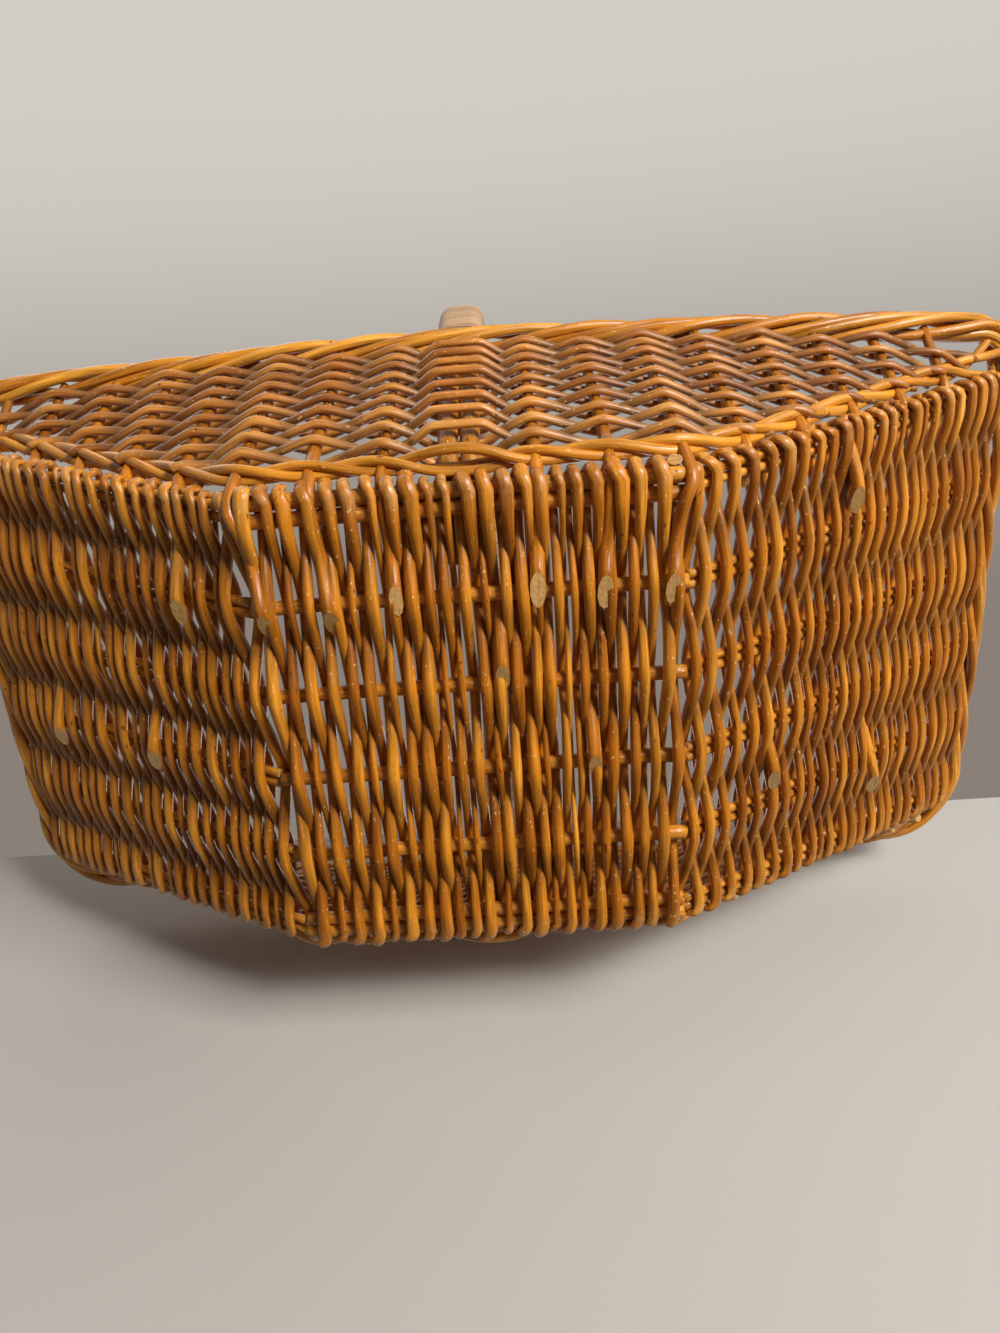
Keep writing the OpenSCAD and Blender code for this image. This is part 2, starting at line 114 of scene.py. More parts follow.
camera_data = bpy.data.cameras.new("photo_camera")
camera_data.lens = camera_lens
camera_data.sensor_width = photo_sensor
camera_data.clip_start = 10 * MM
camera = bpy.data.objects.new("photo_camera", camera_data)
bpy.context.scene.collection.objects.link(camera)
turned = Matrix.Rotation(camera_turn.length, 3, camera_turn).transposed()
looking = turned @ Matrix(((1, 0, 0), (0, -1, 0), (0, 0, -1)))
camera.matrix_world = Matrix.Translation(camera_place) @ looking.to_4x4()
bpy.context.scene.camera = camera
print("camera at", [round(value, 3) for value in camera_place])

# %% [markdown]
# ## A rod as a swept circle
# All but one of the pieces are willow rods, so one tool makes them. A rod is a circle carried along a path.
# The circle stands square to the path and is kept from spinning by a direction that the path never points
# in. All rods of a piece go through as one array of rods by points, and the ends are closed by flat cut
# faces.

# %% Rod tools
lean_reach = 3
least_reach = 0.01 * MM


def unit(v):
    """Vectors scaled to length one."""
    return v / np.linalg.norm(v, axis=-1, keepdims=True)


def rings(paths, radii, facing, sides, squash):
    """Ring points: path + radius * (squash * cos a * side + sin a * up / sqrt squash), where side and up
    are square to the path and up is nearest to facing."""
    way = unit(np.gradient(paths, axis=1))
    side = unit(np.cross(way, facing)) * squash[..., None]
    up = unit(np.cross(side, way)) / np.sqrt(squash)[..., None]
    turn = np.arange(sides) * 2 * np.pi / sides
    circle = np.cos(turn)[:, None] * side[..., None, :] + np.sin(turn)[:, None] * up[..., None, :]
    return paths[..., None, :] + radii[..., None, None] * circle


def ring_faces(rods, count, sides):
    """Quads between neighbouring rings of each rod, and one flat face at each of its ends."""
    ring = np.arange(rods * count).reshape(rods, count) * sides
    k = np.arange(sides)
    after = (k + 1) % sides
    low = ring[:, :-1, None]
    high = ring[:, 1:, None]
    quads = np.stack([low + k, low + after, high + after, high + k], axis=-1).reshape(-1, 4)
    first = ring[:, 0, None] + k[::-1]
    last = ring[:, -1, None] + k
    return quads, np.concatenate([first, last])


def mesh_piece(name, points, quads, caps, values, grain):
    """One mesh from whole arrays: points, faces, a number a point for each named value, and the grain."""
    mesh = bpy.data.meshes.new(name)
    corners = np.concatenate([quads.ravel(), caps.ravel()]).astype(np.int32)
    sizes = np.concatenate([np.full(len(quads), 4), np.full(len(caps), caps.shape[1])])
    starts = np.concatenate([[0], np.cumsum(sizes)[:-1]]).astype(np.int32)
    mesh.vertices.add(len(points))
    mesh.vertices.foreach_set("co", points.astype(np.float32).ravel())
    mesh.loops.add(len(corners))
    mesh.loops.foreach_set("vertex_index", corners)
    mesh.polygons.add(len(sizes))
    mesh.polygons.foreach_set("loop_start", starts)
    is_cap = np.arange(len(sizes)) >= len(quads)
    mesh.polygons.foreach_set("use_smooth", ~is_cap)
    for key, value in values.items():
        layer = mesh.attributes.new(key, "FLOAT", "POINT")
        layer.data.foreach_set("value", value.astype(np.float32).ravel())
    layer = mesh.attributes.new("grain", "FLOAT_VECTOR", "POINT")
    layer.data.foreach_set("vector", grain.astype(np.float32).ravel())
    layer = mesh.attributes.new("cut", "FLOAT", "FACE")
    layer.data.foreach_set("value", is_cap.astype(np.float32))
    mesh.update(calc_edges=True)
    piece = bpy.data.objects.new(name, mesh)
    bpy.context.scene.collection.objects.link(piece)
    return piece


def spread(value, shape):
    """A number for each point of each rod, given a single number, one a rod or one a point."""
    value = np.asarray(value, float)
    if value.ndim == 1:
        value = value[:, None]
    return np.broadcast_to(value, shape)


def rods(name, paths, radii, facing, tint, painted_shade=0.0, sides=10, slant=0.0, squash=1.0, worn=0.0):
    """Rods along paths of shape (rods, points, 3). slant leans both cut faces by that share of the radius.
    squash above 1 widens a rod across the facing direction and thins it along that direction, worn is
    where it is scuffed, and a share of painted shade darkens it towards deep shade."""
    count, length = paths.shape[:2]
    radii = spread(radii, (count, length))
    points = rings(paths, radii, facing, sides, spread(squash, (count, length)))
    way = unit(np.gradient(paths, axis=1))
    steps = np.linalg.norm(np.diff(paths, axis=1), axis=-1)
    along = np.concatenate([np.zeros((count, 1)), np.cumsum(steps, axis=1)], axis=1)
    turn = np.arange(sides) * 2 * np.pi / sides
    lean = spread(slant, (count, 2)) * radii[:, [0, -1]]
    reach = lean_reach * np.abs(lean) + least_reach
    near_start = np.clip(1 - along / reach[:, :1], 0, 1)
    near_end = np.clip(1 - (along[:, -1:] - along) / reach[:, 1:], 0, 1)
    shift = near_start * lean[:, :1] + near_end * lean[:, 1:]
    points = points + (shift[..., None] * np.cos(turn))[..., None] * way[..., None, :]
    quads, caps = ring_faces(count, length, sides)
    shape = (count, length, sides)
    own = rng.uniform(0, 9, (count, 1, 1))
    grain = np.stack([
        np.broadcast_to(along[..., None], shape) + own,
        radii[..., None] * np.cos(turn) + own * 3,
        radii[..., None] * np.sin(turn) - own,
    ], axis=-1)
    values = {}
    for key, value in (("tint", tint), ("painted_shade", painted_shade), ("worn", worn)):
        values[key] = np.broadcast_to(spread(value, (count, length))[..., None], shape)
    piece = mesh_piece(name, points.reshape(-1, 3), quads, caps, values, grain.reshape(-1, 3))
    print(name, count, "rods,", 2 * len(quads) + (sides - 2) * len(caps), "triangles")
    return piece


def place(piece, slot, finish, *nodes):
    """Gives a piece its finish, sets it on the basket and hides the plain solids it stands for."""
    piece.data.materials.append(finish)
    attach(piece, "root")
    if nodes:
        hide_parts(*nodes)


def wander(count, length, size, waves=4):
    """Slow random bends for each rod: a few sine waves of random phase along it, up to the given size."""
    at = np.linspace(0, 2 * np.pi, length)
    order = np.arange(1, waves + 1)[:, None]
    phase = rng.uniform(0, 2 * np.pi, (count, waves, 1))
    tall = rng.uniform(0.2, 1.0, (count, waves, 1)) / order
    return size * (tall * np.sin(at * order + phase)).sum(axis=1) / 1.5


# %% [markdown]
# ## Tools for the finishes
# A finish is a tree of nodes. These tools start one, read a mesh attribute, mix colours, draw streaks along
# a rod and raise the surface by them.


# %% Finish tools
def new_finish(name):
    """A new material with its node tree and its shader."""
    material = bpy.data.materials.new(name)
    material.use_nodes = True
    return material, material.node_tree, material.node_tree.nodes["Principled BSDF"]


def link(tree, source, target):
    """Joins two sockets of a node tree."""
    tree.links.new(source, target)


def add_node(tree, kind, **settings):
    """A new node with its plain settings."""
    node = tree.nodes.new(kind)
    for key, value in settings.items():
        setattr(node, key, value)
    return node


def attribute(tree, name, output="Fac"):
    """Socket of a named mesh attribute."""
    return add_node(tree, "ShaderNodeAttribute", attribute_name=name).outputs[output]


def worked_out(tree, operation, first, second):
    """Socket of the sum, difference or product of two numbers, kept between 0 and 1."""
    node = add_node(tree, "ShaderNodeMath", operation=operation, use_clamp=True)
    link(tree, first, node.inputs[0])
    link(tree, second, node.inputs[1])
    return node.outputs[0]


def blend_colour(tree, share, first, second, mode="MIX"):
    """Socket of two colours mixed by a share. A colour may be a socket or plain numbers."""
    mix = add_node(tree, "ShaderNodeMix", data_type="RGBA", blend_type=mode)
    for key, value in (("Factor", share), ("A", first), ("B", second)):
        if isinstance(value, bpy.types.NodeSocket):
            link(tree, value, mix.inputs[key])
        else:
            mix.inputs[key].default_value = value
    return mix.outputs["Result"]


def streaks(tree, scale, stretch, detail):
    """Noise on the grain attribute, drawn out along the rod by the given stretch."""
    mapping = add_node(tree, "ShaderNodeMapping")
    mapping.inputs["Scale"].default_value = (scale / stretch, scale, scale)
    link(tree, attribute(tree, "grain", "Vector"), mapping.inputs["Vector"])
    noise = add_node(tree, "ShaderNodeTexNoise")
    noise.inputs["Scale"].default_value = 1.0
    noise.inputs["Detail"].default_value = detail
    link(tree, mapping.outputs["Vector"], noise.inputs["Vector"])
    return noise.outputs["Fac"]


def ramp(tree, share, stops):
    """Colour ramp with the given (place, colour) stops."""
    node = add_node(tree, "ShaderNodeValToRGB")
    while len(node.color_ramp.elements) < len(stops):
        node.color_ramp.elements.new(0.5)
    for element, (where, colour) in zip(node.color_ramp.elements, stops):
        element.position = where
        element.color = colour
    link(tree, share, node.inputs["Fac"])
    return node.outputs["Color"]


def stained(tree, tone, share, streak, low, high):
    """Socket of a colour times a ramp of a streak, from the (place, colour) stop low to the stop high."""
    return blend_colour(tree, share, tone, ramp(tree, streak, [low, high]), "MULTIPLY")


def ridges(tree, streak, strength, distance):
    """Bump node that raises the surface by a streak."""
    bump = add_node(tree, "ShaderNodeBump")
    bump.inputs["Strength"].default_value = strength
    bump.inputs["Distance"].default_value = distance
    link(tree, streak, bump.inputs["Height"])
    return bump


# %% [markdown]
# ## Varnished willow
# Peeled and boiled willow is orange-brown. Under its varnish fine fibres run along each rod, so the pattern
# follows the rod's own grain attribute: its length and its place round the rod. Each rod has its own tint,
# the hidden stretches between crossings get painted shade, sharp bends are worn to paler wood, paler specks
# stand for dust and painted varnish glints, and a cut face shows bare wood.

# %% Willow finishes
black = (0, 0, 0, 1)
white = (1, 1, 1, 1)
worn_wood = (0.60, 0.36, 0.13, 1)
deep_shade = (0.055, 0.020, 0.006, 1)
speck_share = (0.7, 0.7, 0.7, 1)
dust_and_glint_colour = (0.80, 0.52, 0.22, 1)
cut_dark = (0.45, 0.23, 0.06, 1)
cut_light = (0.66, 0.39, 0.14, 1)
dull_patch = 0.26


def willow_colour(tree, dark, middle_tone, light, band, fibre):
    """The rod's tint, stained by patches, bands, fibres and scars, then worn, darkened by painted shade,
    specked with dust and painted glints, and cut.
    """
    tone = ramp(tree, attribute(tree, "tint"), [(0.0, dark), (0.5, middle_tone), (1.0, light)])
    patch = streaks(tree, scale=150, stretch=6, detail=2)
    tone = stained(tree, tone, 0.8, patch, (0.34, (0.60, 0.52, 0.46, 1)), (0.62, (1.12, 1.10, 1.05, 1)))
    tone = stained(tree, tone, 0.7, band, (0.34, (0.58, 0.50, 0.42, 1)), (0.66, (1.22, 1.20, 1.16, 1)))
    tone = stained(tree, tone, 0.5, fibre, (0.30, (0.62, 0.56, 0.50, 1)), (0.62, (1.12, 1.10, 1.06, 1)))
    scar = streaks(tree, scale=420, stretch=1.6, detail=2)
    tone = stained(tree, tone, 0.8, scar, (0.26, (0.22, 0.14, 0.08, 1)), (0.31, white))
    crack = ramp(tree, streaks(tree, scale=420, stretch=1.2, detail=4), [(0.38, black), (0.62, white)])
    worn = worked_out(tree, "MULTIPLY", attribute(tree, "worn"), crack)
    tone = blend_colour(tree, worn, tone, worn_wood)
    # Painted shade: the rod darkens towards deep shade by the attribute's share.
    tone = blend_colour(tree, attribute(tree, "painted_shade"), tone, deep_shade)
    # Paler specks: dust and painted varnish glints.
    speck = ramp(tree, streaks(tree, scale=900, stretch=1.5, detail=1), [(0.70, black), (0.76, speck_share)])
    tone = blend_colour(tree, speck, tone, dust_and_glint_colour)
    pith = streaks(tree, scale=1500, stretch=1, detail=3)
    bare = ramp(tree, pith, [(0.3, cut_dark), (0.7, cut_light)])
    return blend_colour(tree, attribute(tree, "cut"), tone, bare)


def willow(name, dark, middle_tone, light, gloss):
    """Varnished willow from three tones of one hue. gloss is the least roughness of the varnish."""
    material, tree, shader = new_finish(name)
    band = streaks(tree, scale=850, stretch=16, detail=3)
    fibre = streaks(tree, scale=2600, stretch=26, detail=4)
    link(tree, willow_colour(tree, dark, middle_tone, light, band, fibre), shader.inputs["Base Color"])
    rough = add_node(tree, "ShaderNodeMapRange")
    rough.inputs["To Min"].default_value = gloss
    rough.inputs["To Max"].default_value = gloss + dull_patch
    link(tree, band, rough.inputs["Value"])
    link(tree, rough.outputs["Result"], shader.inputs["Roughness"])
    shader.inputs["Specular IOR Level"].default_value = 0.40
    shader.inputs["Coat Weight"].default_value = 0.14
    shader.inputs["Coat Roughness"].default_value = 0.12
    coarse = ridges(tree, band, 0.55, 0.5 * MM)
    fine = ridges(tree, fibre, 0.35, 0.25 * MM)
    link(tree, coarse.outputs["Normal"], fine.inputs["Normal"])
    link(tree, fine.outputs["Normal"], shader.inputs["Normal"])
    return material


base_finish = willow("base_willow", (0.38, 0.118, 0.005, 1), (0.57, 0.205, 0.010, 1),
                     (0.72, 0.31, 0.026, 1), 0.24)
stick_finish = willow("stick_willow", (0.44, 0.155, 0.010, 1), (0.58, 0.235, 0.020, 1),
                      (0.68, 0.32, 0.044, 1), 0.26)
wall_finish = willow("wall_willow", (0.40, 0.136, 0.020, 1), (0.57, 0.232, 0.042, 1),
                     (0.69, 0.33, 0.072, 1), 0.30)
border_finish = willow("border_willow", (0.44, 0.150, 0.008, 1), (0.62, 0.245, 0.016, 1),
                       (0.74, 0.35, 0.040, 1), 0.22)
print("willow finishes:", [m.name for m in bpy.data.materials if m.name.endswith("willow")])


# %% [markdown]
# ## The base as one bent strip
# The floor and the two ends are one strip that is folded twice. A point of it is given by s along the
# strip, v across it and w out of it on the outside. The same rule then places weavers, sticks and stakes.


# %% Base surface
def base_point(s, v, w):
    """Flat between the folds. Past a fold, s goes up the slope, v widens with it and the end swells."""
    t = np.maximum(np.abs(s) - fold_x, 0.0)
    slope = np.where(t > 0, end_angle, 0.0)
    share = t / end_length
    out = w + end_belly * 4 * share * (1 - share)
    x = np.sign(s) * (np.minimum(np.abs(s), fold_x) + t * np.cos(slope) + out * np.sin(slope))
    y = v * (1 + (end_flare - 1) * share)
    z = stick_z + t * np.sin(slope) - out * np.cos(slope)
    return np.stack(np.broadcast_arrays(x, y, z), axis=-1)


def along_base(s):
    """Direction of the strip at s: level on the floor, up the slope on an end."""
    slope = np.where(np.abs(s) > fold_x, end_angle, 0.0)
    return np.stack(np.broadcast_arrays(np.cos(slope), 0.0, np.sign(s) * np.sin(slope)), axis=-1)


print("top of the right end:", base_point(fold_x + end_length, 0.0, 0.0).round(4))

# %% [markdown]
# ## Randing: one rod in front, the next behind
# A weaver crosses the sticks in turn outside and inside, turns round the edge sticks and comes back as the
# next row. So a panel is one long path that goes to and fro. One template row gives the place across and
# the height for every row: half a turn round the first edge, a kinked wave over the sticks, and half a turn
# round the other edge. Willow creases where it turns sharply, so the turns are square and the rod is
# pressed flat there.

# %% Weaver tools
turn_steps = 5
slope_steps = 9
kink = 0.96
turn_square = 0.72
turn_squash = 0.80
crossing_pinch = 0.35
crease_reach = 10 * MM
turn_uneven = 0.5 * MM
row_lean = 0.85 * MM
loose_edge = 1.8


def kinked(phase):
    """A wave with straight flanks and rounded tips: asin(kink * cos phase) / asin(kink)."""
    return np.arcsin(kink * np.cos(phase)) / np.arcsin(kink)


def row_template(pair, edge):
    """One row across the lines: place across, share of the turn at each edge, height from -1 to 1, and
    share of the crease. pair is half the spacing of doubled rods at the inner lines, and edge is the
    outermost rod's place."""
    turn = np.linspace(0, np.pi / 2, turn_steps + 1)[:-1]
    across = [np.full(turn_steps + 1, -edge)]
    bend = [np.append(np.cos(turn) ** turn_square, 0.0)]
    height = [np.append(np.sin(turn) ** turn_square, 1.0)]
    edge_pair = edge - edge_line_y
    half = np.array([edge_pair] + [pair] * len(inner_lines) + [edge_pair])
    for k in range(len(lines) - 1):
        first = 0 if half[k] > 0 else 1
        step = np.linspace(0, 1, slope_steps)[first:]
        left = lines[k] + half[k]
        right = lines[k + 1] - half[k + 1]
        across += [left + (right - left) * step]
        bend += [np.zeros(len(step))]
        height += [(-1.0) ** k * kinked(np.pi * step)]
    across += [np.full(turn_steps + 1, edge)]
    bend += [bend[0][::-1]]
    height += [-height[0][::-1]]
    across = np.concatenate(across)
    crease = np.clip((np.abs(across) - edge + crease_reach) / crease_reach, 0, 1)
    return across, np.concatenate(bend), np.concatenate(height), crease


def row_places(start, stop, radii):
    """Rows side by side between two places, with room for their thickness, some tight and some loose."""
    gaps = (radii[1:] + radii[:-1]) * rng.uniform(0.72, 1.3, len(radii) - 1)
    place_in = np.concatenate([[0], np.cumsum(gaps)]) + radii[0]
    return start + (stop - start) * place_in / (place_in[-1] + radii[-1])


def row_radii(rows, thick):
    """Thickness of each row: most are near the given one, and one in seven is a thin tip or a split rod."""
    radii = thick * rng.uniform(0.86, 1.2, rows)
    return np.where(rng.random(rows) < 0.14, thick * rng.uniform(0.5, 0.7, rows), radii)


def woven_panel(name, start, stop, rows, under_r, pair, edge, thick, shade):
    """A panel of rows between two places of the strip, as one rod that goes to and fro. shade is how dark
    the painted shade gets between the crossings."""
    radii = row_radii(rows, thick)
    s = row_places(start, stop, radii)
    across, bend, height, crease = row_template(pair, edge)
    first_half = np.arange(len(across)) < len(across) // 2
    before = np.where(first_half, bend, 0.0)
    after = np.where(first_half, 0.0, bend)

    def eased(value):
        """A row's value, shared with its neighbours where the rod turns from one row to the next."""
        back = np.concatenate([value[:1], value[:-1]]) - value
        ahead = np.concatenate([value[1:], value[-1:]]) - value
        return value[:, None] + 0.5 * (before * back[:, None] + after * ahead[:, None])

    heading = np.where(np.arange(rows) % 2 == 0, 1.0, -1.0)[:, None]
    pinch = crossing_pinch * (1 - np.abs(height)) * (1 - crease)
    squash = (1 - (1 - turn_squash) * crease + pinch) * np.ones((rows, 1))
    lift = under_r + radii[:, None] * np.minimum(squash, 1.0)
    side = np.where(first_half, -1.0, 1.0)
    uneven = rng.normal(0, turn_uneven, (rows, 2))[:, np.where(first_half, 0, 1)]
    v = heading * (across + side * bend * (lift + uneven))
    w = height * lift
    outer_row = np.minimum(np.arange(rows), np.arange(rows)[::-1])[:, None] < 2
    lean = wander(rows, len(across), row_lean) * np.where(outer_row, loose_edge, 1.0) * (1 - bend)
    paths = base_point(eased(s) + lean, v, w).reshape(1, -1, 3)
    tint = eased(rng.beta(2.2, 2.2, rows)) + 0.10 * wander(rows, len(across), 1.0, 6)
    # Painted shade: darkest midway between sticks, where the rows cross, and none over the sticks or in the
    # turns.
    painted_shade_share = shade * np.clip(1 - np.abs(height), 0, 1) ** 1.5 * (1 - bend) * np.ones((rows, 1))
    worn = 0.5 * crease ** 2 * rng.uniform(0.0, 1.0, (rows, 1))
    facing = along_base(np.array((start + stop) / 2))
    return rods(name, paths, eased(radii).reshape(1, -1), facing, np.clip(tint, 0, 1).reshape(1, -1),
                painted_shade_share.reshape(1, -1), sides=10, squash=squash.reshape(1, -1), worn=worn.reshape(1, -1))


# %% [markdown]
# ## Floor and ends
# The floor has forty-four rows and each end forty-seven. On the floor the rod passes single sticks, and on
# the ends it passes pairs of thinner stakes.

# %% Woven panels
floor_rows = 44
end_rows = 47
floor_weaver_r = 2.15 * MM
end_weaver_r = 1.9 * MM
fold_gap = 1.2 * MM
end_weave_stop = 194 * MM
floor_shade = 0.38
end_shade = 0.58

floor_piece = woven_panel("floor_weavers", -fold_x + fold_gap, fold_x - fold_gap, floor_rows, stick_r, 0.0,
                          edge_outer_y, floor_weaver_r, floor_shade)
place(floor_piece, "base_weavers", base_finish, "floor_weave")
end_edge = edge_line_y + end_pair
end_spans = {
    "right": (fold_x + fold_gap, fold_x + end_weave_stop),
    "left": (-fold_x - end_weave_stop, -fold_x - fold_gap),
}
for side_name, (start, stop) in end_spans.items():
    end_piece = woven_panel(f"{side_name}_end_weavers", start, stop, end_rows, end_stake_r, end_pair,
                            end_edge, end_weaver_r, end_shade)
    place(end_piece, "base_weavers", base_finish, f"{side_name}_end_weave")

# %% [markdown]
# ## Joined ends
# Where a weaver runs out, the next one is laid in beside it, and its slanted butt stays on the outside.
# Each is a short rod that rises from behind a crossing to the surface, roughly where the photo shows one.

# %% Joined ends
joint_steps = 14
joint_r = 2.6 * MM
joint_length = 30 * MM
joint_depth = 1.5 * MM
joint_height = 8.6 * MM
joint_slant = -2.2
joint_s = np.array([11, 42, -(fold_x / MM + 69), -(fold_x / MM + 143), -(fold_x / MM + 34),
                    fold_x / MM + 85, fold_x / MM + 114, fold_x / MM + 44]) * MM
joint_v = np.array([-22, 17, 20, 22, -48, -64, 62, 40]) * MM
joint_count = len(joint_s)
share = np.linspace(0, 1, joint_steps)
joint_rise = -joint_depth + joint_height * np.sin(share * np.pi / 2) ** 1.5
joint_lean = rng.uniform(-2.5, 2.5, (joint_count, 1)) * MM
joint_paths = base_point(joint_s[:, None] + joint_lean * share, joint_v[:, None] - joint_length * (1 - share),
                         joint_rise * np.ones((joint_count, 1)))
joint_radii = joint_r * np.linspace(0.8, 1.0, joint_steps)[None, :]
joint_piece = rods("joined_ends", joint_paths, joint_radii, to_x, rng.uniform(0.3, 0.8, joint_count),
                   sides=12, slant=np.tile([0.0, joint_slant], (joint_count, 1)))
place(joint_piece, "base_weavers", base_finish)

# %% [markdown]
# ## Sticks and stakes of the base
# The floor's sticks are thick rods with pale cut ends that stand out at the folds. From there pairs of
# thinner stakes carry the weave up each end to the border.

# %% Base sticks
stick_lines = np.concatenate([[-edge_outer_y, -edge_inner_y], inner_lines, [edge_inner_y, edge_outer_y]])
stick_names = ["front_edge_stick_outer", "front_edge_stick_inner"]
stick_names += [f"base_stick_{i}" for i in (1, 2, 3, 4)]
stick_names += ["back_edge_stick_inner", "back_edge_stick_outer"]
stick_count = len(stick_names)
stick_steps = 40
stick_bow = 0.35 * MM
reach = fold_x + rng.uniform(0.2, 2.0, (stick_count, 2)) * MM
share = np.linspace(0, 1, stick_steps)
stick_s = -reach[:, :1] + (reach[:, :1] + reach[:, 1:]) * share
bowed = wander(stick_count, stick_steps, stick_bow)
stick_paths = np.stack([stick_s, stick_lines[:, None] + bowed, stick_z + 0.5 * bowed[::-1]], axis=-1)
thickness = (stick_r - rod_slack) * (1 + 0.03 * np.sin(9 * share + rng.uniform(0, 6, (stick_count, 1))))
stick_piece = rods("base_sticks", stick_paths, thickness, to_z, rng.uniform(0.3, 0.9, stick_count),
                   sides=14, slant=rng.uniform(-0.25, 0.25, (stick_count, 2)))
place(stick_piece, "sticks", stick_finish, *stick_names)

# %% End stakes
end_stake_steps = 50
end_stake_start = 1.5 * MM
end_stake_stop = 196 * MM
sideways_bow = 0.3 * MM
outward_bow = 0.25 * MM


def end_stakes(hand, side_name):
    """Six pairs of stakes up one end. Each stake follows its line at the same height as the sticks."""
    t = np.linspace(end_stake_start, end_stake_stop, end_stake_steps)
    pair_lines = np.repeat(lines, 2)
    count = len(pair_lines)
    apart = np.tile([-end_pair, end_pair], len(lines))
    widening = 1 + (end_flare - 1) * t / end_length
    v = pair_lines[:, None] + apart[:, None] / widening + wander(count, end_stake_steps, sideways_bow)
    s = hand * (fold_x + t) * np.ones((count, 1))
    paths = base_point(s, v, wander(count, end_stake_steps, outward_bow))
    radii = end_stake_r * rng.uniform(0.94, 1.0, (count, 1)) * np.linspace(1.0, 0.93, end_stake_steps)
    piece = rods(f"{side_name}_end_stakes", paths, radii, to_z, rng.uniform(0.2, 0.9, count),
                 sides=10, slant=rng.uniform(-0.3, 0.3, (count, 2)))
    place(piece, "sticks", stick_finish, *[f"{side_name}_end_stakes_{i}" for i in range(1, 7)])


end_stakes(1.0, "right")
end_stakes(-1.0, "left")


# %% [markdown]
# ## The side walls as a ruled surface
# Each wall spans from the edge of the base to the border by straight lines, one at each x. The front wall
# is worked out, and the back wall is the same turned half round about Z.


# %% Wall surface
def rim_y(x):
    """Half width of the border at x: widest at the handle, narrowing with the square of x."""
    return rim_mid_y - (rim_mid_y - rim_end_y) * (x / rim_x) ** 2


def wall_foot(x):
    """Foot of the front wall at x: on the turned edge of the base, and up the slope past a fold, where the
    edge is thinner, so the foot stands further in."""
    t = np.maximum(np.abs(x) - fold_x, 0.0) / np.cos(end_angle)
    tuck = foot_tuck + end_tuck * np.clip(t / tuck_reach, 0, 1)
    y = -((hem_y - tuck) * (1 + (end_flare - 1) * t / end_length) + wall_stake_r)
    return np.stack(np.broadcast_arrays(x, y, stick_z + t * np.sin(end_angle)), axis=-1)


def wall_point(x, z, out):
    """Point of the wall at x and height z, moved out along the wall's own normal."""
    x, z, out = np.broadcast_arrays(x, z, out)
    low = wall_foot(x)
    high = np.stack(np.broadcast_arrays(x, -rim_y(x), rim_z), axis=-1)
    share = ((z - low[..., 2]) / (high[..., 2] - low[..., 2]))[..., None]
    lean = unit(high - low)
    normal = unit(np.cross(to_x, lean))
    return low + (high - low) * share - normal * out[..., None]


def half_turn(paths):
    """The same paths on the other side: x and y change sign."""
    return paths * np.array([-1.0, -1.0, 1.0])


outward = np.array([0.0, -1.0, -0.3])
sides_of = (("front", lambda paths: paths), ("back", half_turn))
print("foot of the front wall at the handle:", wall_foot(0.0).round(4))

# %% [markdown]
# ## Wall weave
# The walls are randed too. Each row passes the stakes in turn outside and inside, and takes in the two
# thick bow rods as one. The rows lie close under the border and more open towards the base, and each ends
# behind the row of rods at the foot of the wall.

# %% Wall rows
wall_rows = 17
wall_steps = 190
wall_rod_r = 1.95 * MM
wall_squash = 1.14
wall_top_z = 108.5 * MM
wall_low_z = 24.5 * MM
row_tuck = 4.0 * MM
row_limit = 226 * MM
row_bend = 0.9 * MM
row_shade = 0.70
bow_half = 8.6 * MM
bow_room = 17 * MM
phase_x = np.concatenate([[0, bow_half], stake_xs, [stake_xs[-1] + stake_step]])
phase_at = np.pi * np.concatenate([[0, 0], np.arange(1, 10)])


def near_bow(x):
    """1 at the bow rods and 0 away from them: exp of minus the fourth power of x / bow_room."""
    return np.exp(-(np.abs(x) / bow_room) ** 4)


def wall_weave():
    """Rows from the border down. A row's height out of the wall is a kinked wave with tips at the stakes."""
    share = np.linspace(0, 1, wall_rows)
    level = wall_top_z - (wall_top_z - wall_low_z) * (0.80 * share + 0.20 * share ** 2)
    room = np.maximum(level - row_tuck - stick_z, 0.0) / np.tan(end_angle)
    reach = np.minimum(fold_x + room, row_limit)
    ends = reach[:, None] * np.array([-1.0, 1.0])
    x = ends[:, :1] + (ends[:, 1:] - ends[:, :1]) * np.linspace(0, 1, wall_steps)
    radii = wall_rod_r * rng.uniform(0.85, 1.18, (wall_rows, 1)) * (1 - 0.10 * np.linspace(0, 1, wall_steps))
    over = np.where(np.arange(wall_rows) % 2 == 0, 1.0, -1.0)[:, None]
    wave = kinked(np.interp(np.abs(x), phase_x, phase_at))
    lift = wall_stake_r + radii + (bow_r - wall_stake_r) * near_bow(x)
    z = level[:, None] + wander(wall_rows, wall_steps, row_bend)
    paths = wall_point(x, z, over * wave * lift)
    # Painted shade: darkest midway between stakes, where the rows cross, and none at the stakes.
    painted_shade_share = row_shade * np.clip(1 - np.abs(wave), 0, 1) ** 1.2
    return paths, radii, painted_shade_share


for side_name, carry in sides_of:
    paths, radii, painted_shade_share = wall_weave()
    piece = rods(f"{side_name}_wall_weavers", carry(paths), radii, carry(outward), rng.beta(2, 2, wall_rows),
                 painted_shade_share, sides=8, slant=0.6, squash=wall_squash)
    place(piece, "wall_weavers", wall_finish, f"{side_name}_wall_weave")

# %% [markdown]
# ## Wall stakes
# A stake lies between the weavers of the base, bends over the edge sticks and goes up through the wall into
# the border. On the front of the floor its slanted pale butt shows on the outside.

# %% Stakes
stake_base_steps = 16
stake_wall_steps = 22
stake_r = 2.35 * MM
wall_shade = 0.35
cut_lean = {"front": -2.1, "back": 0.2}
fold_near = 8 * MM
butt_rise = 1.6 * MM
tucked = -0.2
fan = -0.07
first_line_y = abs(inner_lines).max()


